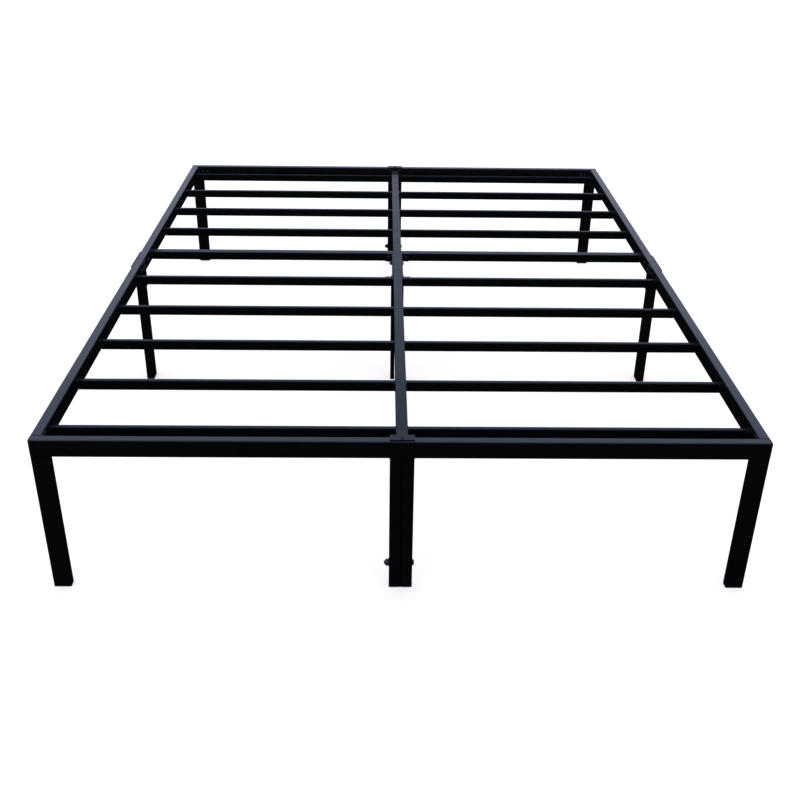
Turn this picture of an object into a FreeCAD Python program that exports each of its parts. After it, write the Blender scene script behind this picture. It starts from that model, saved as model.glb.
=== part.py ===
import FreeCAD, Part
import os
import re
import Sketcher

# Metal platform bed frame for a 60 x 80 in mattress.
# +X is across the bed, +Y runs from the foot end to the head end, +Z is up.
# The origin is on the floor, under the middle of the frame. Lengths are in millimetres.

SIZES = {
    # overall
    "bed_width": 1524,
    "bed_length": 2032,
    "deck_height": 375,
    # perimeter rails, tubes on edge; the side rails are a little thicker than the end rails
    "rail_height": 40,
    "rail_thickness": 20,
    "side_rail_thickness": 22,
    "rail_wall": 1.2,
    "rail_corner": 2.5,
    # side rails and centre rail come in two lengths that meet behind the middle of the bed
    "seam_offset": 20,
    "seam_gap": 0.8,
    # centre rail
    "centre_width": 25,
    "centre_height": 30,
    "centre_drop": 10,
    "centre_wall": 1.2,
    "centre_corner": 2,
    # slats; the first one of the head half is the deep cross slat
    "slat_height": 24,
    "slat_depth": 12,
    "slat_wall": 1,
    "slat_corner": 2,
    "slat_drop": 18,
    "cross_slat_depth": 25,
    "foot_slat_offset": 90,
    "foot_slat_pitch": 214,
    "head_slat_offset": 1156,
    "head_slat_pitch": 205,
    # legs
    "leg_width": 38,
    "leg_depth": 20,
    "leg_wall": 1.2,
    "leg_corner": 2.5,
    "paired_leg_width": 25.4,
    "slim_leg_width": 12,
    "slim_leg_depth": 25,
    "slim_leg_wall": 1,
    "slim_leg_corner": 1.5,
    "slim_leg_centre": 12.5,
    # plastic caps that plug into the tubes
    "cap_thickness": 4,
    "cap_edge": 1.2,
    "plug_length": 18,
    "plug_clearance": 0.3,
    # pressed plates and brackets
    "plate_thickness": 3,
    "tee_width": 52,
    "tee_depth": 21.5,
    "tee_setback": 2.5,
    "tee_stem_width": 24,
    "tee_stem_length": 34,
    "joint_plate_length": 122,
    "joint_plate_height": 38,
    "insert_length": 120,
    "insert_wall": 1.5,
    "insert_clearance": 0.4,
    "saddle_height": 26,
    "saddle_ear": 20,
    "bracket_reach": 44,
    "bracket_side_reach": 26,
    "bracket_margin": 4,
    "bracket_drop": 25,
    "bracket_tongue": 25,
    "bracket_inset": 6,
    "bracket_lip": 4,
    "post_plate_width": 48,
    "post_plate_drop": 35,
    "side_plate_drop": 40,
    # M8 fasteners
    "large_bolt": 8,
    "large_hole": 8.6,
    "large_hexagon": 7.5,
    "large_head_height": 5.3,
    "large_nut_height": 6.5,
    "large_length": 42,
    "round_head": 14,
    "round_head_height": 4,
    "washer_width": 18,
    "washer_thickness": 1.6,
    "bolt_tip": 3,
    "leg_bolt_height": 62,
    # M6 fasteners
    "small_bolt": 6,
    "small_hole": 6.6,
    "small_head": 11,
    "small_head_height": 3,
    "small_length": 12,
    "small_hexagon": 5.8,
    "small_nut_height": 5,
    "joint_screw_length": 24.5,
    "joint_screw_spacing": 90,
    "seam_bolt_offset": 44,
    # M4 screws of the tee plates
    "tiny_bolt": 4,
    "tiny_hole": 4.4,
    "tiny_head": 7,
    "tiny_head_height": 1.8,
    "tiny_length": 10,
}

# A turn about (1, 1, 1) swaps the axes round, so that a piece drawn along Z lies along X or Y.
TURNS = {"X": 120, "Y": 240, "Z": 0}

SIDES = {"left": -1, "right": 1}
ENDS = {"foot": -1, "head": 1}

SLATS_A_SIDE = 10
CROSS_SLAT = 5

# ---- places that several pieces share, as formulas over the sheet's names -----------------------

RAIL_MIDDLE = "(deck_height - rail_height / 2)"
RAIL_BOTTOM = "(deck_height - rail_height)"
CENTRE_TOP = "(deck_height - centre_drop)"
CENTRE_MIDDLE = "(deck_height - centre_drop - centre_height / 2)"
SLAT_MIDDLE = "(deck_height - slat_drop - slat_height / 2)"
OUTER_X = "(bed_width / 2)"
OUTER_Y = "(bed_length / 2)"
INNER_X = "(bed_width / 2 - side_rail_thickness)"
INNER_Y = "(bed_length / 2 - rail_thickness)"
SIDE_RAIL_X = "(bed_width / 2 - side_rail_thickness / 2)"
END_RAIL_Y = "(bed_length / 2 - rail_thickness / 2)"
CORNER_LEG_X = "(bed_width / 2 - leg_width / 2)"
PAIRED_LEG_X = "(paired_leg_width / 2)"
LEG_LENGTH = f"({RAIL_BOTTOM} - cap_thickness)"
FRONT_SLAT_Y = "(foot_slat_offset + 4 * foot_slat_pitch - bed_length / 2)"
CROSS_SLAT_Y = "(head_slat_offset - bed_length / 2)"
SADDLE_START = f"({FRONT_SLAT_Y} + slat_depth / 2)"
SADDLE_STOP = f"({CROSS_SLAT_Y} - cross_slat_depth / 2)"
SADDLE_WALL_X = "(centre_width / 2 + plate_thickness)"
SEAM_BOLT_Y = "(seam_offset + seam_bolt_offset)"

# screw places, measured from the frame's inner corners or from the middle
END_RAIL_SCREWS = ["bracket_reach * 0.42", "bracket_reach * 0.8"]
SIDE_RAIL_SCREW = "bracket_side_reach * 0.68"
TONGUE_X = "(bed_width / 2 - bracket_inset - bracket_tongue / 2)"
TONGUE_SCREW_Z = f"({RAIL_BOTTOM} - bracket_drop / 2)"
POST_SCREW_X = "(post_plate_width / 2 - small_head / 2)"
POST_SCREW_RISE = "(rail_height * 0.3)"
POST_SCREW_Z = f"({RAIL_BOTTOM} - post_plate_drop * 0.55)"
SIDE_PLATE_SCREW_Y = "(leg_width / 4)"
SIDE_PLATE_SCREW_Z = f"({RAIL_BOTTOM} - side_plate_drop * 0.6)"
EAR_SCREW_X = f"({SADDLE_WALL_X} + saddle_ear / 2)"
TEE_SCREWS = ["tee_setback + tiny_head / 2 + 0.5", "rail_thickness * 0.78"]

doc = FreeCAD.newDocument("bed_frame")
sheet = doc.addObject("Spreadsheet::Sheet", "Sizes")


# ---- helpers ------------------------------------------------------------------------------------

def fill_sheet():
    """Write every driving size into the sheet, one row each, and name its cell."""
    for row, (name, size) in enumerate(SIZES.items(), start=1):
        sheet.set(f"A{row}", name)
        sheet.set(f"B{row}", str(size))
        sheet.setAlias(f"B{row}", name)
    doc.recompute()


def bound(formula):
    """Turn the plain size names in a formula into references to the sheet's cells."""
    return re.sub(r"[a-z]\w+", lambda name: f"Sizes.{name.group()}", str(formula))


def bind_position(piece, at):
    """Bind a piece's position to three formulas."""
    for letter, formula in zip("xyz", at):
        piece.setExpression(f".Placement.Base.{letter}", bound(formula))


def place(piece, at, direction="Z"):
    """Turn a piece so that its own Z lies along direction, and bind its position to the sheet."""
    turn = FreeCAD.Rotation(FreeCAD.Vector(1, 1, 1), TURNS[direction])
    piece.Placement = FreeCAD.Placement(FreeCAD.Vector(), turn)
    bind_position(piece, at)
    return piece


def toward(signs, name, distance):
    """Formula for a distance from the middle towards a named side or end."""
    return f"{signs[name]} * ({distance})"


def stretch(side, near, far):
    """Low and high X of a stretch that runs from near to far on one side of the middle."""
    return (near, far) if side == "right" else (f"-{far}", f"-{near}")


def new_sketch(body, plane):
    """Start a sketch on one of the body's own origin planes."""
    sketch = body.newObject("Sketcher::SketchObject", "Sketch")
    planes = [item for item in body.Origin.OriginFeatures if item.Role == plane]
    sketch.AttachmentSupport = [(planes[0], "")]
    sketch.MapMode = "FlatFace"
    sketch.Visibility = False
    return sketch


def dimension(sketch, name, formula, *constraint):
    """Add a named dimension to a sketch and bind it to the sheet."""
    index = sketch.addConstraint(Sketcher.Constraint(*constraint))
    sketch.renameConstraint(index, name)
    sketch.setExpression(f"Constraints.{name}", bound(formula))


def rectangle(sketch, width, height):
    """Draw a rectangle about the sketch's origin."""
    first = sketch.GeometryCount
    corners = [FreeCAD.Vector(x, y, 0) for x, y in [(-9, -9), (9, -9), (9, 9), (-9, 9)]]
    for index in range(4):
        sketch.addGeometry(Part.LineSegment(corners[index], corners[(index + 1) % 4]))
    for index, kind in enumerate(["Horizontal", "Vertical", "Horizontal", "Vertical"]):
        following = first + (index + 1) % 4
        sketch.addConstraint(Sketcher.Constraint("Coincident", first + index, 2, following, 1))
        sketch.addConstraint(Sketcher.Constraint(kind, first + index))
    sketch.addConstraint(Sketcher.Constraint("Symmetric", first, 1, first + 1, 2, -1, 1))
    dimension(sketch, f"width{first}", width, "DistanceX", first, 1, first, 2, 18.0)
    dimension(sketch, f"height{first}", height, "DistanceY", first + 1, 1, first + 1, 2, 18.0)


def circle(sketch, diameter, x, y):
    """Draw a circle about the point x, y."""
    first = sketch.GeometryCount
    sketch.addGeometry(Part.Circle(FreeCAD.Vector(1, 1, 0), FreeCAD.Vector(0, 0, 1), 3))
    dimension(sketch, f"across{first}", diameter, "Diameter", first, 6.0)
    dimension(sketch, f"over{first}", x, "DistanceX", -1, 1, first, 3, 1.0)
    dimension(sketch, f"up{first}", y, "DistanceY", -1, 1, first, 3, 1.0)


def pad(body, sketch, length):
    """Pad a sketch by a length bound to the sheet."""
    feature = body.newObject("PartDesign::Pad", "Pad")
    feature.Profile = sketch
    feature.setExpression("Length", bound(length))
    return feature


def dress(body, kind, size_name, feature, radius, chosen):
    """Fillet or chamfer those edges of a feature that the function chosen picks."""
    doc.recompute()
    edges = enumerate(feature.Shape.Edges, start=1)
    names = [f"Edge{number}" for number, edge in edges if chosen(edge)]
    dressing = body.newObject(f"PartDesign::{kind}", kind)
    dressing.Base = (feature, names)
    dressing.setExpression(size_name, bound(radius))
    return dressing


def round_corners(body, feature, radius):
    """Round the four outermost edges along the body's own Z."""
    doc.recompute()
    half_x = feature.Shape.BoundBox.XMax
    half_y = feature.Shape.BoundBox.YMax

    def outermost(edge):
        middle = edge.CenterOfMass
        return abs(abs(middle.x) - half_x) < 1e-6 and abs(abs(middle.y) - half_y) < 1e-6

    return dress(body, "Fillet", "Radius", feature, radius, outermost)


def drill(body, axis, holes, diameter, wall="both"):
    """Drill round holes along the body's own X or Y, through both walls or only one of them.

    Each hole is a pair of formulas: its place across the body and its place along Z.
    The wall is both, low for the one on the axis's negative side, or high.
    """
    doc.recompute()
    before = body.Shape.Volume
    sketch = new_sketch(body, {"X": "YZ_Plane", "Y": "XZ_Plane"}[axis])
    for over, up in holes:
        circle(sketch, diameter, over, up)
    pocket = body.newObject("PartDesign::Pocket", "Pocket")
    pocket.Profile = sketch
    pocket.Type = "ThroughAll"
    pocket.Midplane = wall == "both"
    # the YZ plane faces +X and the XZ plane faces -Y, and a pocket cuts away from that side
    pocket.Reversed = (wall == "high") == (axis == "X")
    doc.recompute()
    if body.Shape.Volume > before - 1:
        raise RuntimeError(f"{body.Label}: the holes along {axis} cut nothing")


def new_piece(kind, label):
    """Add an object with a label of its own."""
    piece = doc.addObject(kind, label)
    piece.Label = label
    return piece


def tube(label, size, wall, corner, length, at, direction="Z"):
    """Make a straight rectangular tube with rounded outer corners.

    size is its pair of outer sizes along the tube's own X and Y. In the frame these are
    X and Y for a post, Y and Z for a tube along X, and Z and X for a tube along Y.
    """
    body = new_piece("PartDesign::Body", label)
    section = new_sketch(body, "XY_Plane")
    rectangle(section, *size)
    rectangle(section, *[f"{outer} - 2 * {wall}" for outer in size])
    round_corners(body, pad(body, section, length), corner)
    return place(body, at, direction)


def cap(label, size, wall, corner, at, direction="Z"):
    """Make a plastic cap: a flange as wide as its tube, and a plug for the tube's mouth."""
    body = new_piece("PartDesign::Body", label)
    outline = new_sketch(body, "XY_Plane")
    rectangle(outline, *size)
    flange = round_corners(body, pad(body, outline, "cap_thickness"), corner)

    def on_outer_face(edge):
        return edge.BoundBox.ZMax < 1e-6

    dress(body, "Chamfer", "Size", flange, "cap_edge", on_outer_face)
    mouth = new_sketch(body, "XY_Plane")
    rectangle(mouth, *[f"{outer} - 2 * {wall} - 2 * plug_clearance" for outer in size])
    pad(body, mouth, "cap_thickness + plug_length")
    return place(body, at, direction)


def block(low, high):
    """Make a box between two corners."""
    box = doc.addObject("Part::Box", "Box")
    for name, start, stop in zip(["Length", "Width", "Height"], low, high):
        box.setExpression(name, bound(f"({stop}) - ({start})"))
    bind_position(box, low)
    return box


def rod(diameter, length, at, outward=(0, 0, 1)):
    """Make a round bar that starts at a point and runs outward."""
    bar = doc.addObject("Part::Cylinder", "Rod")
    bar.setExpression("Radius", bound(f"({diameter}) / 2"))
    bar.setExpression("Height", bound(length))
    turn = FreeCAD.Rotation(FreeCAD.Vector(0, 0, 1), FreeCAD.Vector(*outward))
    bar.Placement = FreeCAD.Placement(FreeCAD.Vector(), turn)
    bind_position(bar, at)
    return bar


def hexagon(radius, length, at):
    """Make a hexagonal bar along Z, sized by its circumscribed circle."""
    prism = doc.addObject("Part::Prism", "Hexagon")
    prism.Polygon = 6
    prism.setExpression("Circumradius", bound(radius))
    prism.setExpression("Height", bound(length))
    bind_position(prism, at)
    return prism


def fused(label, pieces):
    """Join pieces into one solid."""
    joined = new_piece("Part::MultiFuse", label)
    joined.Shapes = pieces
    joined.Refine = True
    return joined


def cut(label, base, tools):
    """Cut tools out of a base, and check that every cut takes something away."""
    result = new_piece("Part::Cut", label)
    result.Base = base
    result.Tool = tools[0] if len(tools) == 1 else fused(f"{label}_tools", tools)
    doc.recompute()
    if result.Shape.Volume > base.Shape.Volume - 1:
        raise RuntimeError(f"{label}: the holes cut nothing")
    return result


def group(label, pieces):
    """Collect small pieces, each still a solid of its own, under one label."""
    compound = new_piece("Part::Compound", label)
    compound.Links = pieces
    return compound


def mirrored(piece, normal):
    """Mirror a piece across the plane through the origin with this normal."""
    copy = new_piece("Part::Mirroring", f"{piece.Label}_mirrored")
    copy.Source = piece
    copy.Normal = FreeCAD.Vector(*normal)
    return copy


def fastened(pattern, at, outward):
    """Put a copy of a fastener at a point, its head facing outward."""
    copy = doc.addObject("App::Link", f"{pattern.Name}_copy")
    copy.LinkedObject = pattern
    turn = FreeCAD.Rotation(FreeCAD.Vector(0, 0, 1), FreeCAD.Vector(*outward))
    copy.Placement = FreeCAD.Placement(FreeCAD.Vector(), turn)
    bind_position(copy, at)
    return copy


# ---- rails --------------------------------------------------------------------------------------

def end_rails():
    """The foot rail and head rail run the full width, over the corner legs."""
    steel = "(bed_width - 2 * cap_thickness)"
    for end in ENDS:
        rail = tube(f"{end}_rail", ("rail_thickness", "rail_height"), "rail_wall", "rail_corner",
                    steel, (f"-{steel} / 2", toward(ENDS, end, END_RAIL_Y), RAIL_MIDDLE), "X")
        inward = []
        for side in SIDES:
            for reach in END_RAIL_SCREWS:
                inward.append(("0", f"{toward(SIDES, side, f'{INNER_X} - {reach}')} + {steel} / 2"))
            inward.append((POST_SCREW_RISE, f"{toward(SIDES, side, POST_SCREW_X)} + {steel} / 2"))
        drill(rail, "X", inward, "small_hole", "high" if end == "foot" else "low")
        upward = [(toward(ENDS, end, f"rail_thickness / 2 - ({inset})"), f"{steel} / 2")
                  for inset in TEE_SCREWS]
        drill(rail, "Y", upward, "tiny_hole", "high")


def split_lengths():
    """Start and length of the foot part and the head part of a rail along Y."""
    return {
        "foot": (f"(-{INNER_Y})", f"{INNER_Y} + seam_offset - seam_gap / 2"),
        "head": ("(seam_offset + seam_gap / 2)", f"{INNER_Y} - seam_offset - seam_gap / 2"),
    }


def side_rails():
    """Each side rail butts against the end rails, and its two parts meet at the seam."""
    for side in SIDES:
        inner_wall = "high" if side == "left" else "low"
        for end, (start, length) in split_lengths().items():
            rail = tube(f"side_rail_{side}_{end}", ("rail_height", "side_rail_thickness"), "rail_wall",
                        "rail_corner", length, (toward(SIDES, side, SIDE_RAIL_X), start, RAIL_MIDDLE), "Y")
            inward = [("0", f"{toward(ENDS, end, f'{INNER_Y} - {SIDE_RAIL_SCREW}')} - {start}")]
            if end == "foot":
                inward += [("0", f"{step} * {SIDE_PLATE_SCREW_Y} - {start}") for step in (-1, 1)]
            drill(rail, "Y", inward, "small_hole", inner_wall)
            joint = f"seam_offset + {toward(ENDS, end, 'joint_screw_spacing / 2')} - {start}"
            drill(rail, "Y", [("0", joint)], "small_hole")
            if end == "head":
                bolt = (f"{SLAT_MIDDLE} - {RAIL_MIDDLE}", f"{CROSS_SLAT_Y} - {start}")
                drill(rail, "Y", [bolt], "large_hole")


def centre_rails():
    """The centre rail carries the inner ends of the slats, a little below the rails' tops."""
    for end, (start, length) in split_lengths().items():
        rail = tube(f"centre_rail_{end}", ("centre_height", "centre_width"), "centre_wall",
                    "centre_corner", length, ("0", start, CENTRE_MIDDLE), "Y")
        if end == "head":
            drill(rail, "Y", [("0", f"{SEAM_BOLT_Y} - {start}")], "small_hole")


def slats():
    """Ten slats a side, numbered from the head end, five in each half of the frame."""
    length = f"{INNER_X} - centre_width / 2"
    for side in SIDES:
        start = "(centre_width / 2)" if side == "right" else f"(-{INNER_X})"
        for number in range(1, SLATS_A_SIDE + 1):
            depth = "cross_slat_depth" if number == CROSS_SLAT else "slat_depth"
            if number <= CROSS_SLAT:
                steps = CROSS_SLAT - number
                y = f"head_slat_offset + {steps} * head_slat_pitch - bed_length / 2"
            else:
                steps = SLATS_A_SIDE - number
                y = f"foot_slat_offset + {steps} * foot_slat_pitch - bed_length / 2"
            slat = tube(f"slat_{side}_{number:02d}", (depth, "slat_height"), "slat_wall",
                        "slat_corner", length, (start, y, SLAT_MIDDLE), "X")
            if number in (CROSS_SLAT, CROSS_SLAT + 1):
                hole = ("0", f"{toward(SIDES, side, EAR_SCREW_X)} - {start}")
                drill(slat, "X", [hole], "small_hole", "low" if number == CROSS_SLAT else "high")


# ---- legs ---------------------------------------------------------------------------------------

def corner_legs():
    """Corner legs stand under the ends of the foot and head rails."""
    for end in ENDS:
        for side in SIDES:
            at = (toward(SIDES, side, CORNER_LEG_X), toward(ENDS, end, END_RAIL_Y), "cap_thickness")
            leg = tube(f"leg_{end}_{side}", ("leg_width", "leg_depth"), "leg_wall", "leg_corner",
                       LEG_LENGTH, at)
            screw = (toward(SIDES, side, f"{TONGUE_X} - {CORNER_LEG_X}"),
                     f"{TONGUE_SCREW_Z} - cap_thickness")
            drill(leg, "Y", [screw], "small_hole", "high" if end == "foot" else "low")


def middle_side_legs():
    """One leg under the middle of each side rail, its wide face along the rail."""
    for side in SIDES:
        leg = tube(f"leg_middle_{side}", ("side_rail_thickness", "leg_width"), "leg_wall", "leg_corner",
                   LEG_LENGTH, (toward(SIDES, side, SIDE_RAIL_X), "0", "cap_thickness"))
        screws = [(f"{step} * {SIDE_PLATE_SCREW_Y}", f"{SIDE_PLATE_SCREW_Z} - cap_thickness")
                  for step in (-1, 1)]
        drill(leg, "X", screws, "small_hole", "high" if side == "left" else "low")


def centre_posts():
    """Two tubes side by side make each centre post; a bolt near the floor ties them."""
    for end in ENDS:
        for side in SIDES:
            at = (toward(SIDES, side, PAIRED_LEG_X), toward(ENDS, end, END_RAIL_Y), "cap_thickness")
            leg = tube(f"leg_{end}_centre_{side}", ("paired_leg_width", "leg_depth"), "leg_wall",
                       "leg_corner", LEG_LENGTH, at)
            drill(leg, "X", [("0", "leg_bolt_height - cap_thickness")], "large_hole")
            screw = (toward(SIDES, side, f"{POST_SCREW_X} - {PAIRED_LEG_X}"),
                     f"{POST_SCREW_Z} - cap_thickness")
            drill(leg, "Y", [screw], "small_hole", "high" if end == "foot" else "low")


def slim_centre_legs():
    """Two slim legs stand under the saddle at the middle of the centre rail."""
    for side in SIDES:
        tube(f"leg_middle_centre_{side}", ("slim_leg_width", "slim_leg_depth"), "slim_leg_wall",
             "slim_leg_corner", f"{LEG_LENGTH} - plate_thickness",
             (toward(SIDES, side, "slim_leg_centre"), "0", "cap_thickness"))


# ---- caps ---------------------------------------------------------------------------------------

def foot_caps():
    """Each leg stands on a plastic cap; the caps of the middle legs share a group."""
    corner = []
    paired = []
    middle = []
    for side in SIDES:
        for end in ENDS:
            y = toward(ENDS, end, END_RAIL_Y)
            corner.append(cap(f"cap_{end}_{side}", ("leg_width", "leg_depth"), "leg_wall", "leg_corner",
                              (toward(SIDES, side, CORNER_LEG_X), y, "0")))
            paired.append(cap(f"cap_{end}_centre_{side}", ("paired_leg_width", "leg_depth"), "leg_wall",
                              "leg_corner", (toward(SIDES, side, PAIRED_LEG_X), y, "0")))
        middle.append(cap(f"cap_middle_{side}", ("side_rail_thickness", "leg_width"), "leg_wall",
                          "leg_corner", (toward(SIDES, side, SIDE_RAIL_X), "0", "0")))
        middle.append(cap(f"cap_middle_centre_{side}", ("slim_leg_width", "slim_leg_depth"),
                          "slim_leg_wall", "slim_leg_corner",
                          (toward(SIDES, side, "slim_leg_centre"), "0", "0")))
    group("foot_caps_corner", corner)
    group("foot_caps_centre_posts", paired)
    group("foot_caps_middle", middle)


def rail_end_caps():
    """Plastic caps close the ends of the foot and head rails."""
    caps = []
    for end in ENDS:
        left = cap(f"cap_{end}_rail", ("rail_thickness", "rail_height"), "rail_wall", "rail_corner",
                   (f"-{OUTER_X}", toward(ENDS, end, END_RAIL_Y), RAIL_MIDDLE), "X")
        caps += [left, mirrored(left, (1, 0, 0))]
    group("rail_end_caps", caps)


# ---- plates, brackets and inserts ---------------------------------------------------------------

def tee_plates():
    """A tee plate ties the centre rail's end to the top of the foot rail, and one to the head rail."""
    start = f"(-{OUTER_Y} + tee_setback)"
    bend = f"({start} + tee_depth)"
    stem = "(tee_stem_width / 2)"
    top = "deck_height + plate_thickness"
    flange = block(("-tee_width / 2", start, "deck_height"), ("tee_width / 2", bend, top))
    web = block((f"-{stem}", f"{bend} - plate_thickness", CENTRE_TOP), (stem, bend, top))
    tongue = block((f"-{stem}", f"{bend} - plate_thickness", CENTRE_TOP),
                   (stem, f"{bend} + tee_stem_length", f"{CENTRE_TOP} + plate_thickness"))
    holes = [rod("tiny_hole", "3 * plate_thickness",
                 ("0", f"-{OUTER_Y} + {inset}", "deck_height - plate_thickness"))
             for inset in TEE_SCREWS]
    foot_plate = cut("tee_plate_foot", fused("tee_blank", [flange, web, tongue]), holes)
    group("tee_plates", [foot_plate, mirrored(foot_plate, (0, 1, 0))])


def side_joint_plates():
    """A flat plate bridges each side rail's seam on its outer face."""
    middle = "seam_offset"
    half = "joint_plate_length / 2"
    rise = "joint_plate_height / 2"
    blank = block((f"-{OUTER_X} - plate_thickness", f"{middle} - {half}", f"{RAIL_MIDDLE} - {rise}"),
                  (f"-{OUTER_X}", f"{middle} + {half}", f"{RAIL_MIDDLE} + {rise}"))
    holes = [rod("small_hole", "3 * plate_thickness",
                 (f"-{OUTER_X} - 2 * plate_thickness", f"{middle} + {step} * joint_screw_spacing / 2",
                  RAIL_MIDDLE), (1, 0, 0)) for step in (-1, 1)]
    left = cut("side_joint_plate_left", blank, holes)
    group("side_joint_plates", [left, mirrored(left, (1, 0, 0))])


def rail_inserts():
    """A smaller tube inside each seam keeps the two rail parts in line."""
    start = "(seam_offset - insert_length / 2)"
    shrink = "- 2 * rail_wall - 2 * insert_clearance"
    inserts = []
    for side in SIDES:
        insert = tube(f"side_rail_insert_{side}",
                      (f"rail_height {shrink}", f"side_rail_thickness {shrink}"), "insert_wall", "1",
                      "insert_length", (toward(SIDES, side, SIDE_RAIL_X), start, RAIL_MIDDLE), "Y")
        through = [("0", f"insert_length / 2 + {step} * joint_screw_spacing / 2") for step in (-1, 1)]
        drill(insert, "Y", through, "small_hole")
        inward = [("0", f"{step} * {SIDE_PLATE_SCREW_Y} - {start}") for step in (-1, 1)]
        drill(insert, "Y", inward, "small_hole", "high" if side == "left" else "low")
        inserts.append(insert)
    group("side_rail_inserts", inserts)
    shrink = "- 2 * centre_wall - 2 * insert_clearance"
    insert = tube("centre_rail_insert", (f"centre_height {shrink}", f"centre_width {shrink}"),
                  "insert_wall", "1", "insert_length", ("0", start, CENTRE_MIDDLE), "Y")
    drill(insert, "Y", [("0", f"{SEAM_BOLT_Y} - {start}")], "small_hole")


def centre_saddle():
    """A channel under the centre rail's seam, with ears that screw to the slats at its ends."""
    inside = "(centre_width / 2)"
    outside = SADDLE_WALL_X
    low = f"({RAIL_BOTTOM} - plate_thickness)"
    high = f"({low} + saddle_height)"
    ear_low = f"{SLAT_MIDDLE} - slat_height / 2"
    ear_high = f"{SLAT_MIDDLE} + slat_height / 2"
    pieces = [block((f"-{outside}", SADDLE_START, low), (outside, SADDLE_STOP, RAIL_BOTTOM))]
    for side in SIDES:
        left, right = stretch(side, inside, outside)
        pieces.append(block((left, SADDLE_START, low), (right, SADDLE_STOP, high)))
        left, right = stretch(side, inside, f"({outside} + saddle_ear)")
        for start in (SADDLE_START, f"({SADDLE_STOP} - plate_thickness)"):
            pieces.append(block((left, start, ear_low), (right, f"{start} + plate_thickness", ear_high)))
    holes = [rod("small_hole", f"4 * {outside}", (f"-2 * {outside}", SEAM_BOLT_Y, CENTRE_MIDDLE),
                 (1, 0, 0))]
    for step in (-1, 1):
        x = f"{step} * {EAR_SCREW_X}"
        for y in (SADDLE_START, f"{SADDLE_STOP} - plate_thickness"):
            holes.append(rod("small_hole", "3 * plate_thickness", (x, f"{y} - plate_thickness", SLAT_MIDDLE),
                             (0, 1, 0)))
    cut("centre_saddle", fused("saddle_blank", pieces), holes)


def corner_brackets():
    """Pressed brackets tie each end rail, side rail and corner leg together on the inside."""
    x = f"(-{INNER_X})"
    y = f"(-{INNER_Y})"
    top = "deck_height - bracket_margin"
    left = f"(-{TONGUE_X} - bracket_tongue / 2)"
    right = f"(-{TONGUE_X} + bracket_tongue / 2)"
    low = f"({RAIL_BOTTOM} - bracket_drop)"
    front = f"({y} + plate_thickness)"
    pieces = [
        block((x, y, RAIL_BOTTOM), (f"{x} + bracket_reach", front, top)),
        block((x, y, RAIL_BOTTOM), (f"{x} + plate_thickness", f"{y} + bracket_side_reach", top)),
        block((left, y, low), (right, front, RAIL_BOTTOM)),
        block((left, y, low), (right, f"{front} + bracket_lip", f"{low} + plate_thickness")),
    ]
    depth = "3 * plate_thickness"
    holes = [rod("small_hole", depth, (f"{x} + {reach}", f"{y} - plate_thickness", RAIL_MIDDLE), (0, 1, 0))
             for reach in END_RAIL_SCREWS]
    holes.append(rod("small_hole", depth, (f"-{TONGUE_X}", f"{y} - plate_thickness", TONGUE_SCREW_Z),
                     (0, 1, 0)))
    side_hole = (f"{x} - plate_thickness", f"{y} + {SIDE_RAIL_SCREW}", RAIL_MIDDLE)
    holes.append(rod("small_hole", depth, side_hole, (1, 0, 0)))
    foot_left = cut("corner_bracket_foot_left", fused("corner_bracket_blank", pieces), holes)
    foot_right = mirrored(foot_left, (1, 0, 0))
    group("corner_brackets_foot", [foot_left, foot_right])
    group("corner_brackets_head", [mirrored(foot_left, (0, 1, 0)), mirrored(foot_right, (0, 1, 0))])


def centre_post_plates():
    """A forked plate behind each end rail holds the two tubes of the centre post."""
    half = "(post_plate_width / 2)"
    y = f"(-{INNER_Y})"
    back = f"({y} + plate_thickness)"
    fork = "(centre_width / 2 + 0.5)"
    top = "deck_height - 1.5"
    pieces = [
        block((f"-{half}", y, f"{RAIL_BOTTOM} - post_plate_drop"), (half, back, RAIL_BOTTOM)),
        block((f"-{half}", y, RAIL_BOTTOM), (f"-{fork}", back, top)),
        block((fork, y, RAIL_BOTTOM), (half, back, top)),
    ]
    holes = []
    for step in (-1, 1):
        for z in (f"{RAIL_MIDDLE} + {POST_SCREW_RISE}", POST_SCREW_Z):
            holes.append(rod("small_hole", "3 * plate_thickness",
                             (f"{step} * {POST_SCREW_X}", f"{y} - plate_thickness", z), (0, 1, 0)))
    foot_plate = cut("centre_post_plate_foot", fused("post_plate_blank", pieces), holes)
    group("centre_post_plates", [foot_plate, mirrored(foot_plate, (0, 1, 0))])


def middle_leg_plates():
    """A flat plate on the inner face of each side rail holds the middle leg."""
    x = f"(-{INNER_X})"
    half = "(leg_width / 2)"
    blank = block((x, f"-{half}", f"{RAIL_BOTTOM} - side_plate_drop"),
                  (f"{x} + plate_thickness", half, "deck_height - bracket_margin"))
    holes = []
    for step in (-1, 1):
        for z in (RAIL_MIDDLE, SIDE_PLATE_SCREW_Z):
            holes.append(rod("small_hole", "3 * plate_thickness",
                             (f"{x} - plate_thickness", f"{step} * {SIDE_PLATE_SCREW_Y}", z), (1, 0, 0)))
    left = cut("middle_leg_plate_left", blank, holes)
    group("middle_leg_plates", [left, mirrored(left, (1, 0, 0))])


# ---- fasteners ----------------------------------------------------------------------------------
# Each pattern is drawn with its head above the origin and its shank below it.

def round_head_screw(label, head, head_height, shank, length):
    """A round head with a softened rim, on a plain shank."""
    disc = rod(head, head_height, ("0", "0", "0"))
    stem = rod(shank, length, ("0", "0", f"-({length})"))
    blank = fused(f"{label}_blank", [disc, stem])
    doc.recompute()
    screw = new_piece("Part::Fillet", label)
    screw.Base = blank
    rims = [number for number, edge in enumerate(blank.Shape.Edges, start=1)
            if edge.BoundBox.ZMin > 1e-6 and edge.Closed]
    rim_radius = SIZES[head_height] * 0.6
    screw.Edges = [(number, rim_radius, rim_radius) for number in rims]
    return screw


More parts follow.
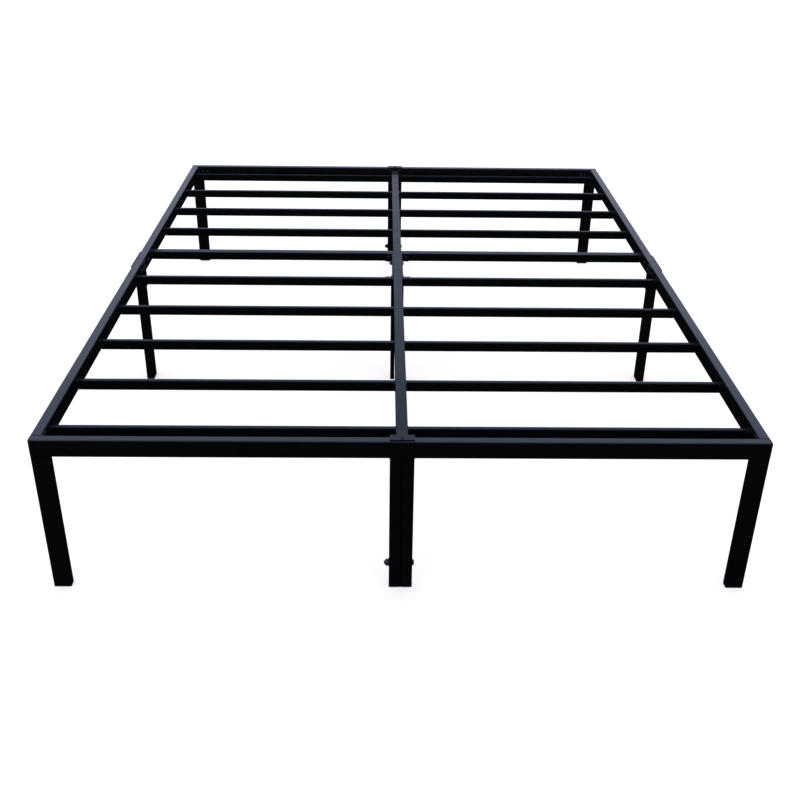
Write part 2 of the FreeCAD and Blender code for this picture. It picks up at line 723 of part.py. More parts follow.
def hex_bolt(label):
    """A hexagon head on a plain shank."""
    head = hexagon("large_hexagon", "large_head_height", ("0", "0", "0"))
    shank = rod("large_bolt", "large_length", ("0", "0", "-large_length"))
    return fused(label, [head, shank])


def ring(label, blank, bore, height):
    """A nut or washer: a blank with a clearance bore along Z."""
    return cut(label, blank, [rod(bore, f"3 * {height}", ("0", "0", f"-{height}"))])


def bolts_and_nuts():
    """Bolts with nuts: centre posts, side rails into the cross slats, and the centre rail's seam."""
    large_nut = ring("nut_pattern", hexagon("large_hexagon", "large_nut_height", ("0", "0", "0")),
                     "large_hole", "large_nut_height")
    small_nut = ring("seam_nut_pattern", hexagon("small_hexagon", "small_nut_height", ("0", "0", "0")),
                     "small_hole", "small_nut_height")
    washer = ring("washer_pattern", rod("washer_width", "washer_thickness", ("0", "0", "0")),
                  "large_hole", "washer_thickness")
    post_length = "2 * paired_leg_width + washer_thickness + large_nut_height + bolt_tip"
    post_bolt = round_head_screw("post_bolt_pattern", "round_head", "round_head_height", "large_bolt",
                                 post_length)
    rail_bolt = hex_bolt("rail_bolt_pattern")
    seam_length = f"2 * {SADDLE_WALL_X} + small_nut_height + bolt_tip"
    seam_bolt = round_head_screw("seam_bolt_pattern", "small_head", "small_head_height", "small_bolt",
                                 seam_length)
    post_bolts = []
    washers = []
    # the centre rail's seam has its nut on the left, behind the saddle's wall
    frame_bolts = [fastened(seam_bolt, (SADDLE_WALL_X, SEAM_BOLT_Y, CENTRE_MIDDLE), (1, 0, 0))]
    nuts = [fastened(small_nut, (f"-{SADDLE_WALL_X}", SEAM_BOLT_Y, CENTRE_MIDDLE), (-1, 0, 0))]
    for end in ENDS:
        y = toward(ENDS, end, END_RAIL_Y)
        post_bolts.append(fastened(post_bolt, ("paired_leg_width", y, "leg_bolt_height"), (1, 0, 0)))
        washers.append(fastened(washer, ("-paired_leg_width", y, "leg_bolt_height"), (-1, 0, 0)))
        nuts.append(fastened(large_nut, ("-paired_leg_width - washer_thickness", y, "leg_bolt_height"),
                             (-1, 0, 0)))
    for side, sign in SIDES.items():
        washer_x = toward(SIDES, side, OUTER_X)
        washers.append(fastened(washer, (washer_x, CROSS_SLAT_Y, SLAT_MIDDLE), (sign, 0, 0)))
    # the left bolt's nut is outside the rail, and the right bolt's nut is inside the slat
    outside = f"{OUTER_X} + washer_thickness"
    for x in (f"-{INNER_X}", outside):
        frame_bolts.append(fastened(rail_bolt, (x, CROSS_SLAT_Y, SLAT_MIDDLE), (1, 0, 0)))
    for x in (f"-({outside})", INNER_X):
        nuts.append(fastened(large_nut, (x, CROSS_SLAT_Y, SLAT_MIDDLE), (-1, 0, 0)))
    group("centre_post_bolts", post_bolts)
    group("frame_bolts", frame_bolts)
    group("hex_nuts", nuts)
    group("washers", washers)


def bracket_screws():
    """M6 screws that hold the brackets and plates, and the longer ones through the side seams."""
    screw = round_head_screw("bracket_screw_pattern", "small_head", "small_head_height", "small_bolt",
                             "small_length")
    joint_screw = round_head_screw("joint_screw_pattern", "small_head", "small_head_height",
                                   "small_bolt", "joint_screw_length")
    screws = []
    joint_screws = []
    for end, end_sign in ENDS.items():
        inward = (0, -end_sign, 0)
        y = toward(ENDS, end, f"{INNER_Y} - plate_thickness")
        for side, side_sign in SIDES.items():
            for reach in END_RAIL_SCREWS:
                x = toward(SIDES, side, f"{INNER_X} - {reach}")
                screws.append(fastened(screw, (x, y, RAIL_MIDDLE), inward))
            screws.append(fastened(screw, (toward(SIDES, side, TONGUE_X), y, TONGUE_SCREW_Z), inward))
            at = (toward(SIDES, side, f"{INNER_X} - plate_thickness"),
                  toward(ENDS, end, f"{INNER_Y} - {SIDE_RAIL_SCREW}"), RAIL_MIDDLE)
            screws.append(fastened(screw, at, (-side_sign, 0, 0)))
            x = toward(SIDES, side, POST_SCREW_X)
            for z in (f"{RAIL_MIDDLE} + {POST_SCREW_RISE}", POST_SCREW_Z):
                screws.append(fastened(screw, (x, y, z), inward))
            at = (toward(SIDES, side, INNER_X),
                  f"seam_offset + {toward(ENDS, end, 'joint_screw_spacing / 2')}", RAIL_MIDDLE)
            joint_screws.append(fastened(joint_screw, at, (-side_sign, 0, 0)))
    for side, sign in SIDES.items():
        x = toward(SIDES, side, f"{INNER_X} - plate_thickness")
        for step in (-1, 1):
            for z in (RAIL_MIDDLE, SIDE_PLATE_SCREW_Z):
                screws.append(fastened(screw, (x, f"{step} * {SIDE_PLATE_SCREW_Y}", z), (-sign, 0, 0)))
        x = toward(SIDES, side, EAR_SCREW_X)
        screws.append(fastened(screw, (x, f"{SADDLE_START} + plate_thickness", SLAT_MIDDLE), (0, 1, 0)))
        screws.append(fastened(screw, (x, f"{SADDLE_STOP} - plate_thickness", SLAT_MIDDLE), (0, -1, 0)))
    group("bracket_screws", screws)
    group("side_joint_screws", joint_screws)


def tee_plate_screws():
    """Two small screws hold each tee plate to its end rail."""
    screw = round_head_screw("tee_screw_pattern", "tiny_head", "tiny_head_height", "tiny_bolt",
                             "tiny_length")
    screws = []
    for end in ENDS:
        for inset in TEE_SCREWS:
            y = toward(ENDS, end, f"{OUTER_Y} - ({inset})")
            screws.append(fastened(screw, ("0", y, "deck_height + plate_thickness"), (0, 0, 1)))
    group("tee_plate_screws", screws)


# ---- assembly and export ------------------------------------------------------------------------

def check(piece):
    """Stop if a sub-part failed, is empty or is not a valid shape of closed solids."""
    shape = piece.Shape
    if shape.isNull() or not shape.isValid() or not shape.Solids:
        raise RuntimeError(f"{piece.Label} has no valid solid")


def sub_parts():
    """Every object that no other object uses: the finished sub-parts."""
    kinds = ("PartDesign::Body", "Part::Cut", "Part::Compound")
    return [item for item in doc.Objects
            if item.TypeId in kinds and not [user for user in item.InList if user is not sheet]]


fill_sheet()
end_rails()
side_rails()
centre_rails()
slats()
corner_legs()
middle_side_legs()
centre_posts()
slim_centre_legs()
foot_caps()
rail_end_caps()
tee_plates()
side_joint_plates()
rail_inserts()
centre_saddle()
corner_brackets()
centre_post_plates()
middle_leg_plates()
bolts_and_nuts()
bracket_screws()
tee_plate_screws()
doc.recompute()

for item in doc.Objects:
    if "Invalid" in item.State or "Error" in item.State:
        raise RuntimeError(f"{item.Label} failed: {item.State}")

os.makedirs("parts", exist_ok=True)
finished = sub_parts()
for piece in finished:
    check(piece)
    piece.Shape.exportStep(f"parts/{piece.Label}.step")
print(len(finished), "sub-parts written")
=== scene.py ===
import math
import bpy
from mathutils import Matrix, Vector


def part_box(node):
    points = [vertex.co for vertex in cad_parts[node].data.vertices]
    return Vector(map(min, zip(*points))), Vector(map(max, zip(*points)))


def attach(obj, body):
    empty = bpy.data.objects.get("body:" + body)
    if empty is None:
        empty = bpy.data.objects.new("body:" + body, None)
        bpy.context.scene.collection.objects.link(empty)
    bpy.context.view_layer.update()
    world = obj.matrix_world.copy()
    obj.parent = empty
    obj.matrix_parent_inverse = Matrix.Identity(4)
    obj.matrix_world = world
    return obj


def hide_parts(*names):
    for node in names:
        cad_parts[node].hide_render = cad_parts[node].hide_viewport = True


# The metal bed frame's looks: camera, studio, powder-coated steel, moulded caps, real fasteners and
# weld beads. Lengths are in metres, in the CAD model's own frame.

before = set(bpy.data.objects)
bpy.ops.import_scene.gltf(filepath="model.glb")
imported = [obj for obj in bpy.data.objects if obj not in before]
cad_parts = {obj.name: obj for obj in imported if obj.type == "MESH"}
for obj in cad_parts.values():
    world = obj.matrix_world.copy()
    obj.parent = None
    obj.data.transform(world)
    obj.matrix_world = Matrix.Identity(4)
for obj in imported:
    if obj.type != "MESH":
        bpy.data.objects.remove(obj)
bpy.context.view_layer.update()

# ---- camera, measured from the middle of the foot rail's top front edge -------------------------
CAMERA_LEFT = 0.0399
CAMERA_BACK = 1.7904
CAMERA_RISE = 1.0693
CAMERA_YAW = math.radians(1.074)
CAMERA_PITCH = math.radians(28.492)
CAMERA_ROLL = math.radians(0.811)
SENSOR = 36.0
LENS = 45.964

# ---- studio -------------------------------------------------------------------------------------
FLOOR_HALF = 40.0
FLOOR_COLOR = (0.52, 0.44, 0.36, 1)
FLOOR_GLOW = 0.52
BACKDROP_RADIUS = 30.0
BACKDROP_HEIGHT = 40.0
BACKDROP_STEPS = 48
BACKDROP_COLOR = (0.02, 0.02, 0.02, 1)
BACKDROP_GLOW = 1.02
SUN_STRENGTH = 0.8
SUN_SPREAD = math.radians(120)
SUN_TILT = (math.radians(8), math.radians(-6), 0)
VIEW_GAMMA = 0.8
# sky brightness by the sine of the height above the horizon, from underfoot to the zenith
SKY_BANDS = [
    (-0.03, (0.010, 0.010, 0.012)),
    (0.02, (0.60, 0.58, 0.66)),
    (0.25, (1.34, 1.31, 1.58)),
    (0.50, (0.97, 1.14, 1.66)),
    (1.00, (0.90, 1.10, 1.60)),
]
SKY_PEAK = 2.0

# ---- fasteners and welds ------------------------------------------------------------------------
TURN_STEPS = 30
# points this near a solid's end lie on its end face
END_SLACK = 0.00001
# points farther from the axis than this many shank radii belong to the head
HEAD_OVER_SHANK = 1.05
# thread depth as a share of the shank's radius
THREAD_DEPTH = 0.09
# thread pitches of the M4, M6 and M8 fasteners
FINE_PITCH = 0.0007
MIDDLE_PITCH = 0.0010
COARSE_PITCH = 0.00125
WELD_RADIUS = 0.0026
WELD_STEPS = 16
WELD_SPOKES = 5
WELD_GAP = 0.0004
WELD_INSET = 0.003
# height as a share of the bead's radius, and pace along it, of the two waves that ripple a bead
WELD_RIPPLES = ((0.13, 2.4), (0.05, 5.1))


# ---- camera and studio --------------------------------------------------------------------------

def make_camera():
    """The camera at the foot end, looking down along the bed."""
    low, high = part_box("foot_rail")
    eye = Vector((-CAMERA_LEFT, low.y - CAMERA_BACK, high.z + CAMERA_RISE))
    turn, tilt = CAMERA_YAW, CAMERA_PITCH
    ahead = Vector((math.sin(turn) * math.cos(tilt), math.cos(turn) * math.cos(tilt), -math.sin(tilt)))
    level = Vector((math.cos(turn), -math.sin(turn), 0))
    upright = level.cross(ahead)
    right = level * math.cos(CAMERA_ROLL) + upright * math.sin(CAMERA_ROLL)
    up = upright * math.cos(CAMERA_ROLL) - level * math.sin(CAMERA_ROLL)
    data = bpy.data.cameras.new("camera")
    data.sensor_width = SENSOR
    data.lens = LENS
    camera = bpy.data.objects.new("camera", data)
    axes = Matrix((right, up, -ahead)).transposed().to_4x4()
    camera.matrix_world = Matrix.Translation(eye) @ axes
    bpy.context.collection.objects.link(camera)
    bpy.context.scene.camera = camera


def make_floor():
    """A white paper floor, kept out of the paint's reflections so that the uprights stay black."""
    mesh = bpy.data.meshes.new("floor")
    half = FLOOR_HALF
    corners = [(-half, -half, 0), (half, -half, 0), (half, half, 0), (-half, half, 0)]
    mesh.from_pydata(corners, [], [(0, 1, 2, 3)])
    mesh.materials.append(paper("floor_paper", FLOOR_COLOR, FLOOR_GLOW))
    floor = bpy.data.objects.new("floor", mesh)
    bpy.context.collection.objects.link(floor)
    floor.visible_glossy = False


def make_backdrop():
    """A white paper wall all round, seen by the camera only, so that it neither lights nor shades."""
    mesh = bpy.data.meshes.new("backdrop")
    vertices = []
    faces = []
    for step in range(BACKDROP_STEPS):
        angle = 2 * math.pi * step / BACKDROP_STEPS
        x, y = BACKDROP_RADIUS * math.cos(angle), BACKDROP_RADIUS * math.sin(angle)
        vertices += [(x, y, 0), (x, y, BACKDROP_HEIGHT)]
        here, after = 2 * step, 2 * ((step + 1) % BACKDROP_STEPS)
        faces.append((here, here + 1, after + 1, after))
    mesh.from_pydata(vertices, [], faces)
    mesh.materials.append(paper("backdrop_paper", BACKDROP_COLOR, BACKDROP_GLOW))
    backdrop = bpy.data.objects.new("backdrop", mesh)
    bpy.context.collection.objects.link(backdrop)
    backdrop.visible_glossy = False
    backdrop.visible_diffuse = False
    backdrop.visible_shadow = False


def make_sky():
    """A cool soft sky above a dark ground, with brightness by height only."""
    world = bpy.data.worlds.new("studio")
    bpy.context.scene.world = world
    world.use_nodes = True
    tree = world.node_tree
    place = tree.nodes.new("ShaderNodeTexCoord")
    split = tree.nodes.new("ShaderNodeSeparateXYZ")
    height = tree.nodes.new("ShaderNodeMapRange")
    height.inputs["From Min"].default_value = -1
    ramp = tree.nodes.new("ShaderNodeValToRGB")
    background = tree.nodes["Background"]
    background.inputs["Strength"].default_value = SKY_PEAK
    stops = ramp.color_ramp.elements
    while len(stops) < len(SKY_BANDS):
        stops.new(0.5)
    for stop, (sine, color) in zip(stops, SKY_BANDS):
        stop.position = (sine + 1) / 2
        stop.color = [channel / SKY_PEAK for channel in color] + [1]
    tree.links.new(place.outputs["Generated"], split.inputs[0])
    tree.links.new(split.outputs["Z"], height.inputs["Value"])
    tree.links.new(height.outputs["Result"], ramp.inputs["Fac"])
    tree.links.new(ramp.outputs["Color"], background.inputs["Color"])


def make_sun():
    """One very broad light from above, for the white floor and soft contact shadows."""
    data = bpy.data.lights.new("overhead", "SUN")
    data.energy = SUN_STRENGTH
    data.angle = SUN_SPREAD
    light = bpy.data.objects.new("overhead", data)
    light.rotation_euler = SUN_TILT
    bpy.context.collection.objects.link(light)


# ---- materials ----------------------------------------------------------------------------------

class Nodes:
    """A material on the Principled shader, with short names for the nodes that it uses."""

    def __init__(self, name):
        self.material = bpy.data.materials.new(name)
        self.material.use_nodes = True
        self.tree = self.material.node_tree
        self.shader = self.tree.nodes["Principled BSDF"]
        self.place = self.tree.nodes.new("ShaderNodeTexCoord").outputs["Object"]

    def add(self, kind, **sockets):
        """Add a node; each named socket takes a value or another node's output."""
        node = self.tree.nodes.new(f"ShaderNode{kind}")
        for name, value in sockets.items():
            self.join(value, node.inputs[name.replace("_", " ")])
        return node

    def join(self, value, socket):
        """Link an output to a socket, or set the socket to a plain value."""
        if isinstance(value, bpy.types.NodeSocket):
            self.tree.links.new(value, socket)
        else:
            socket.default_value = value

    def set(self, name, value):
        """Set or link one of the shader's own inputs."""
        self.join(value, self.shader.inputs[name])

    def noise(self, scale, detail, roughness=0.5):
        """Noise with this many cells to the metre."""
        return self.add("TexNoise", Vector=self.place, Scale=scale, Detail=detail,
                        Roughness=roughness).outputs["Fac"]

    def cells(self, scale):
        """Distance to the nearest of scattered points, with this many points to the metre."""
        return self.add("TexVoronoi", Vector=self.place, Scale=scale).outputs["Distance"]

    def spread(self, value, low, high, to_low=0.0, to_high=1.0):
        """Map a value's range onto another one, clamped."""
        node = self.add("MapRange", Value=value, From_Min=low, From_Max=high, To_Min=to_low, To_Max=to_high)
        return node.outputs["Result"]

    def math(self, operation, first, second):
        """Combine two values."""
        node = self.tree.nodes.new("ShaderNodeMath")
        node.operation = operation
        self.join(first, node.inputs[0])
        self.join(second, node.inputs[1])
        return node.outputs[0]

    def paint(self, share, first, second):
        """Mix two colours by a share, into the shader's base colour."""
        node = self.tree.nodes.new("ShaderNodeMix")
        node.data_type = "RGBA"
        self.join(share, node.inputs["Factor"])
        self.join(first, node.inputs["A"])
        self.join(second, node.inputs["B"])
        self.set("Base Color", node.outputs["Result"])

    def edges(self, radius):
        """A mask that is 1 on edges and corners, found from a bevelled normal."""
        soft = self.add("Bevel", Radius=radius).outputs["Normal"]
        sharp = self.add("NewGeometry").outputs["Normal"]
        node = self.tree.nodes.new("ShaderNodeVectorMath")
        node.operation = "DOT_PRODUCT"
        self.join(soft, node.inputs[0])
        self.join(sharp, node.inputs[1])
        return self.spread(node.outputs["Value"], 0.99, 0.80)

    def bump(self, height, distance, strength=1.0):
        """Raise the surface by a height texture."""
        node = self.add("Bump", Height=height, Distance=distance, Strength=strength)
        self.set("Normal", node.outputs["Normal"])


def paper(name, color, glow):
    """White paper with faint fibres, lit a little from within."""
    nodes = Nodes(name)
    faint = [channel * 0.97 for channel in color[:3]] + [1]
    nodes.paint(nodes.spread(nodes.noise(900, 3), 0.3, 0.7), color, faint)
    nodes.set("Roughness", 0.9)
    nodes.set("Specular IOR Level", 0.0)
    nodes.set("Emission Color", (1, 1, 1, 1))
    nodes.set("Emission Strength", glow)
    return nodes.material


def powder_coat(name, color, speckle_and_edge_highlight, roughness, grain, shine, tint, peel):
    """Satin black powder coat: a fine speckled skin, orange peel, and a painted highlight along the edges.

    Grain is the skin's cells to the metre, and peel is how deep the orange peel is against it.
    """
    nodes = Nodes(name)
    skin = nodes.noise(grain, 2, 0.6)
    mottle = nodes.noise(grain * 0.14, 3, 0.7)
    clouds = nodes.noise(14, 3)
    specks = nodes.spread(nodes.cells(grain * 0.7), 0.10, 0.32, 1, 0)
    # edges and corners are painted lighter here: a painted highlight along them, broken into patches by
    # noise
    edge_wear_and_highlight = nodes.math("MULTIPLY", nodes.edges(0.0012), nodes.spread(nodes.noise(60, 4, 0.7), 0.45, 0.7))
    marks = nodes.math("MULTIPLY", specks, 0.35)
    share = nodes.math("MAXIMUM", marks, nodes.math("MULTIPLY", edge_wear_and_highlight, 0.8))
    nodes.paint(share, color, speckle_and_edge_highlight)
    uneven = nodes.math("ADD", nodes.spread(clouds, 0.3, 0.7, -0.03, 0.03),
                        nodes.spread(skin, 0.3, 0.7, -0.06, 0.06))
    nodes.set("Roughness", nodes.math("ADD", uneven, roughness))
    nodes.set("IOR", 1.5)
    nodes.set("Specular IOR Level", shine)
    nodes.set("Specular Tint", tint)
    nodes.bump(nodes.math("ADD", skin, nodes.math("MULTIPLY", mottle, peel)), 0.00007, 0.8)
    return nodes.material


def blackened_steel(name):
    """Black-oxide fasteners: half metallic, with bright scuffed corners."""
    nodes = Nodes(name)
    grain = nodes.noise(2600, 3)
    edge_wear_and_highlight = nodes.math("MULTIPLY", nodes.edges(0.0006), nodes.spread(nodes.noise(400, 3), 0.35, 0.65))
    nodes.paint(nodes.math("MULTIPLY", edge_wear_and_highlight, 0.9), (0.024, 0.024, 0.027, 1), (0.22, 0.22, 0.23, 1))
    nodes.set("Metallic", 0.55)
    nodes.set("Roughness", nodes.spread(grain, 0.3, 0.7, 0.28, 0.42))
    nodes.bump(grain, 0.00003)
    return nodes.material


def moulded_plastic(name):
    """Black polyethylene caps: a matt skin with a fine spark-eroded texture and scuffs underneath."""
    nodes = Nodes(name)
    texture = nodes.noise(2200, 2, 0.7)
    scuffs = nodes.spread(nodes.noise(180, 5, 0.75), 0.58, 0.75)
    nodes.paint(nodes.math("MULTIPLY", scuffs, 0.5), (0.004, 0.004, 0.004, 1), (0.02, 0.02, 0.021, 1))
    nodes.set("Roughness", nodes.spread(texture, 0.3, 0.7, 0.48, 0.62))
    nodes.set("IOR", 1.5)
    nodes.bump(texture, 0.00005)
    return nodes.material


# ---- pieces -------------------------------------------------------------------------------------

def new_piece(name, vertices, faces, slot, smooth=True):
    """Make a mesh piece that rides on the frame and takes its finish from a record slot."""
    mesh = bpy.data.meshes.new(name)
    mesh.from_pydata(vertices, [], faces)
    mesh.validate()
    for face in mesh.polygons:
        face.use_smooth = smooth
    mesh.materials.append(MATERIALS[slot])
    piece = bpy.data.objects.new(name, mesh)
    bpy.context.collection.objects.link(piece)
    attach(piece, "root")
    return piece


def islands(node):
    """Split a CAD node's mesh into its separate solids: a list of point lists."""
    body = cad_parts[node]
    points = [body.matrix_world @ vertex.co for vertex in body.data.vertices]
    leader = list(range(len(points)))

    def lead(index):
        while leader[index] != index:
            leader[index] = leader[leader[index]]
            index = leader[index]
        return index

    same = {}
    for index, point in enumerate(points):
        key = tuple(round(value, 6) for value in point)
        leader[lead(index)] = lead(same.setdefault(key, index))
    for edge in body.data.edges:
        first, second = edge.vertices
        leader[lead(first)] = lead(second)
    found = {}
    for index, point in enumerate(points):
        found.setdefault(lead(index), []).append(point)
    return list(found.values())


def turned(rings, start, outward, hollow=False):
    """Vertices and faces of a closed turned solid; a hollow one's last ring joins its first.

    Each ring is a radius, a height along outward, and True where its section is a hexagon.
    """
    outward = outward.normalized()
    across = outward.orthogonal().normalized()
    aside = outward.cross(across)
    vertices = []
    faces = []
    for radius, height, is_hexagon in rings:
        for step in range(TURN_STEPS):
            angle = 2 * math.pi * step / TURN_STEPS
            reach = radius
            if is_hexagon:
                reach *= math.cos(math.pi / 6) / math.cos(angle % (math.pi / 3) - math.pi / 6)
            spoke = across * math.cos(angle) + aside * math.sin(angle)
            vertices.append(start + spoke * reach + outward * height)
    last = (len(rings) - 1) * TURN_STEPS
    stop = len(vertices) if hollow else last
    for here in range(0, stop, TURN_STEPS):
        there = (here + TURN_STEPS) % len(vertices)
        for step in range(TURN_STEPS):
            after = (step + 1) % TURN_STEPS
            faces.append((here + step, here + after, there + after, there + step))
    if not hollow:
        faces.append(tuple(reversed(range(TURN_STEPS))))
        faces.append(tuple(range(last, last + TURN_STEPS)))
    return vertices, faces


# Each shape below is a list of rings, with its details as shares of the fastener's own sizes. A screw's
# rings run from its tip at -length, past the seat of its head at 0, to the top of its head.

def threaded(radius, start, stop, pitch):
    """Rings of a thread's crests and roots between two heights."""
    rings = []
    turns = max(1, int((stop - start) / pitch))
    for turn in range(turns):
        base = start + turn * pitch
        rings.append((radius * (1 - THREAD_DEPTH), base + pitch * 0.1, False))
        rings.append((radius, base + pitch * 0.55, False))
    return rings


def button_screw(length, head, head_height, shank, pitch):
    """A button head with a hexagon socket, on a threaded shank that ends in a chamfer."""
    socket = head * 0.29
    rings = [(shank * 0.7, -length, False)]
    rings += threaded(shank, -length + pitch * 0.6, -head_height * 0.4, pitch)
    rings += [(shank, -head_height * 0.1, False), (shank, 0.0, False)]
    rings += [(head * 0.97, 0.0, False), (head, head_height * 0.12, False)]
    for step in range(1, 6):
        turn = math.radians(15 * step)
        rings.append((head * (0.45 + 0.55 * math.cos(turn)), head_height * (0.12 + 0.88 * math.sin(turn)),
                      False))
    rings += [(head * 0.50, head_height, False), (socket * 1.12, head_height, True),
              (socket, head_height * 0.92, True), (socket, head_height * 0.35, True),
              (socket * 0.4, head_height * 0.25, True)]
    return rings


def hexagon_bolt(length, head, head_height, shank, pitch):
    """A chamfered hexagon head over a washer face, on a threaded shank."""
    rings = [(shank * 0.72, -length, False)]
    rings += threaded(shank, -length + pitch * 0.6, -length * 0.35, pitch)
    rings += [(shank, -length * 0.3, False), (shank, 0.0, False)]
    rings += [(head * 0.84, 0.0, False), (head * 0.84, head_height * 0.06, False),
              (head, head_height * 0.10, True), (head, head_height * 0.86, True),
              (head * 0.84, head_height, False), (head * 0.3, head_height, False)]
    return rings


def hexagon_nut(height, head, bore):
    """A hexagon nut, chamfered on both faces and round its bore."""
    flat = head * 0.84
    return [(bore, height * 0.04, False), (flat, 0.0, False), (head, height * 0.13, True),
            (head, height * 0.87, True), (flat, height, False), (bore * 1.12, height, False),
            (bore, height * 0.92, False)]


def washer(height, rim, bore):
    """A flat washer with a rolled outer edge."""
    return [(bore, 0.0, False), (rim * 0.97, 0.0, False), (rim, height * 0.3, False),
            (rim, height * 0.7, False), (rim * 0.97, height, False), (bore, height, False)]


def span(points, axis):
    """Low and high place of points along an axis."""
    places = [point[axis] for point in points]
    return min(places), max(places)


def reach_from(points, axis, middle):
    """Farthest distance of points from a line along an axis."""
    return max(math.hypot(*[(point - middle)[other] for other in range(3) if other != axis])
               for point in points)


def sizes_of(points):
    """Extent of points along each axis."""
    spans = [span(points, axis) for axis in range(3)]
    return [high - low for low, high in spans]


def middle_of(points):
    """Middle of the box round points."""
    return Vector([sum(span(points, axis)) / 2 for axis in range(3)])


def along(axis):
    """A unit vector along an axis."""
    return Vector([1.0 if other == axis else 0.0 for other in range(3)])


def measure_screw(points):
    """The seat of a screw's head, its direction and its sizes, read from its solid."""
    sizes = sizes_of(points)
    axis = sizes.index(max(sizes))
    middle = middle_of(points)
    low, high = span(points, axis)
    top = [point for point in points if point[axis] > high - END_SLACK]
    bottom = [point for point in points if point[axis] < low + END_SLACK]
    head_is_high = reach_from(top, axis, middle) > reach_from(bottom, axis, middle)
    shank = reach_from(bottom if head_is_high else top, axis, middle)
    head_points = [point for point in points
                   if reach_from([point], axis, middle) > shank * HEAD_OVER_SHANK]
    head_low, head_high = span(head_points, axis)
    seat = Vector(middle)
    seat[axis] = head_low if head_is_high else head_high
    outward = along(axis) if head_is_high else -along(axis)
    head = reach_from(head_points, axis, middle)
    head_height = head_high - head_low
    length = high - low - head_height
    return seat, outward, (length, head, head_height, shank)


def screws_of(node, shape, pitch):
    """Replace a node of screws or bolts with threaded ones of the same places and sizes."""
    vertices = []
    faces = []
    for points in islands(node):
        seat, outward, sizes = measure_screw(points)
        add_solid(vertices, faces, turned(shape(*sizes, pitch), seat, outward))
    replace_fasteners(node, vertices, faces)


def rings_of(node, shape):
    """Replace a node of nuts or washers with chamfered ones of the same places and sizes."""
    vertices = []
    faces = []
    for points in islands(node):
        sizes = sizes_of(points)
        axis = sizes.index(min(sizes))
        middle = middle_of(points)
        base = Vector(middle)
        base[axis] = span(points, axis)[0]
        rim = reach_from(points, axis, middle)
        bore = min(reach_from([point], axis, middle) for point in points)
        add_solid(vertices, faces, turned(shape(sizes[axis], rim, bore), base, along(axis), hollow=True))
    replace_fasteners(node, vertices, faces)


def replace_fasteners(node, vertices, faces):
    """Make the piece that stands for a node of fasteners."""
    piece = new_piece(f"{node}_detailed", vertices, faces, "black_fasteners", smooth=False)
    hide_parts(node)


def add_solid(vertices, faces, solid):
    """Append one solid's vertices and faces to a piece's lists."""
    first = len(vertices)
    vertices += solid[0]
    faces += [tuple(first + index for index in face) for face in solid[1]]


def bead(corner, run, first_side, second_side):
    """A rippled weld bead along run, in the corner between two faces."""
    vertices = []
    faces = []
    for step in range(WELD_STEPS + 1):
        ripple = 1 + sum(height * math.sin(step * pace) for height, pace in WELD_RIPPLES)
        taper = 1.0 if 0 < step < WELD_STEPS else 0.55
        middle = corner + run * (step / WELD_STEPS)
        radius = WELD_RADIUS * ripple * taper
        vertices.append(middle)
        for spoke in range(WELD_SPOKES):
            angle = math.pi / 2 * spoke / (WELD_SPOKES - 1)
            bulge = radius * (0.86 + 0.14 * abs(math.cos(2 * angle)))
            vertices.append(middle + first_side * math.cos(angle) * bulge
                            + second_side * math.sin(angle) * bulge)
    ring = WELD_SPOKES + 1
    for step in range(WELD_STEPS):
        for spoke in range(ring):
            here, after = step * ring + spoke, step * ring + (spoke + 1) % ring
            faces.append((here, after, after + ring, here + ring))
    faces.append(tuple(reversed(range(ring))))
    faces.append(tuple(range(WELD_STEPS * ring, WELD_STEPS * ring + ring)))
    return vertices, faces


def slat_welds():
    """Weld beads down both vertical faces of every slat, at its side rail and its centre rail."""
    for side in ("left", "right"):
        vertices = []
        faces = []
        names = [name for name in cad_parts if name.startswith(f"slat_{side}_")]
        for name in sorted(names):
            low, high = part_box(name)
            run = Vector((0, 0, high.z - low.z - 4 * WELD_GAP))
            for x, inward in ((low.x, 1), (high.x, -1)):
                for y, away in ((low.y, -1), (high.y, 1)):
                    corner = Vector((x + inward * WELD_GAP / 2, y, low.z + 2 * WELD_GAP))
                    add_solid(vertices, faces, bead(corner, run, Vector((inward, 0, 0)),
                                                    Vector((0, away, 0))))
        new_piece(f"slat_welds_{side}", vertices, faces, "black_steel")


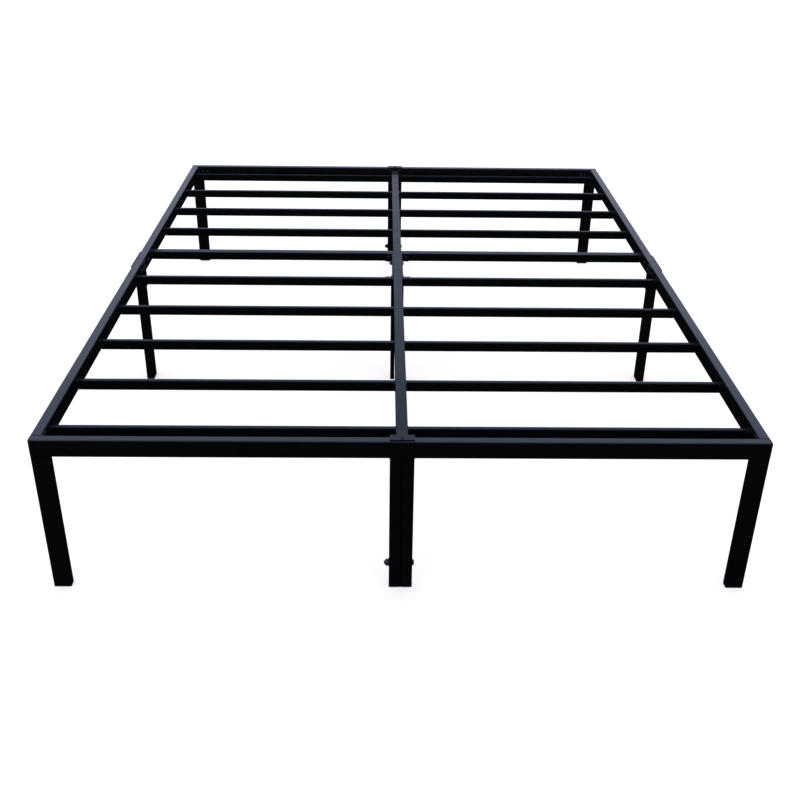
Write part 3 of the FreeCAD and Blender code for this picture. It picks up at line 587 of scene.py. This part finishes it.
def leg_welds():
    """Weld beads along the tops of the legs, where their narrow faces meet the rails."""
    vertices = []
    faces = []
    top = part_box("foot_rail")[0].z
    under = Vector((0, 0, -1))
    for name in sorted(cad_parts):
        if not name.startswith("leg_") or name.startswith("leg_middle_centre"):
            continue
        low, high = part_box(name)
        if name.startswith("leg_middle"):
            run = Vector((high.x - low.x - 2 * WELD_INSET, 0, 0))
            for y, away in ((low.y, -1), (high.y, 1)):
                corner = Vector((low.x + WELD_INSET, y, top))
                add_solid(vertices, faces, bead(corner, run, under, Vector((0, away, 0))))
        else:
            # a corner leg is welded on its side towards the middle, a centre post on its outer side
            away = -1 if low.x + high.x > 0 else 1
            if "centre" in name:
                away = -away
            run = Vector((0, high.y - low.y - 2 * WELD_INSET, 0))
            corner = Vector((high.x if away > 0 else low.x, low.y + WELD_INSET, top))
            add_solid(vertices, faces, bead(corner, run, under, Vector((away, 0, 0))))
    new_piece("leg_welds", vertices, faces, "black_steel")


# ---- put together -------------------------------------------------------------------------------

# each coat's second, lighter colour paints its specks and a painted highlight along its edges
MATERIALS = {
    "black_steel": powder_coat(
        "powder_coat_tube", color=(0.0014, 0.0015, 0.0018, 1), speckle_and_edge_highlight=(0.016, 0.016, 0.018, 1),
        roughness=0.31, grain=1300, shine=0.5, tint=(0.93, 1.0, 1.0, 1), peel=6.0),
    "black_brackets": powder_coat(
        "powder_coat_plate", color=(0.0018, 0.0018, 0.0020, 1), speckle_and_edge_highlight=(0.020, 0.020, 0.022, 1),
        roughness=0.38, grain=1500, shine=0.32, tint=(0.90, 1.0, 1.0, 1), peel=6.0),
    "black_fasteners": blackened_steel("black_oxide"),
    "black_plastic": moulded_plastic("moulded_cap"),
}
INNER_COAT = powder_coat(
    "powder_coat_inner", color=(0.0014, 0.0016, 0.0019, 1), speckle_and_edge_highlight=(0.016, 0.017, 0.019, 1),
    roughness=0.34, grain=1200, shine=0.26, tint=(0.65, 0.97, 1.0, 1), peel=7.0)


def finish(name):
    """The material of a CAD node, by its name; the slats and centre rail are a little more matt."""
    if "cap" in name:
        return MATERIALS["black_plastic"]
    if name.startswith(("slat_", "centre_rail_foot", "centre_rail_head")):
        return INNER_COAT
    if name.endswith(("_plates", "_inserts", "_insert", "_saddle")) or "bracket" in name:
        return MATERIALS["black_brackets"]
    return MATERIALS["black_steel"]


make_camera()
make_floor()
make_backdrop()
make_sky()
make_sun()
for name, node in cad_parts.items():
    node.data.materials.clear()
    node.data.materials.append(finish(name))

for name, pitch in (("bracket_screws", MIDDLE_PITCH), ("side_joint_screws", MIDDLE_PITCH),
                    ("tee_plate_screws", FINE_PITCH), ("centre_post_bolts", COARSE_PITCH)):
    screws_of(name, button_screw, pitch)
screws_of("frame_bolts", hexagon_bolt, COARSE_PITCH)
rings_of("hex_nuts", hexagon_nut)
rings_of("washers", washer)
slat_welds()
leg_welds()

scene = bpy.context.scene
scene.view_settings.view_transform = "Standard"
scene.view_settings.gamma = VIEW_GAMMA
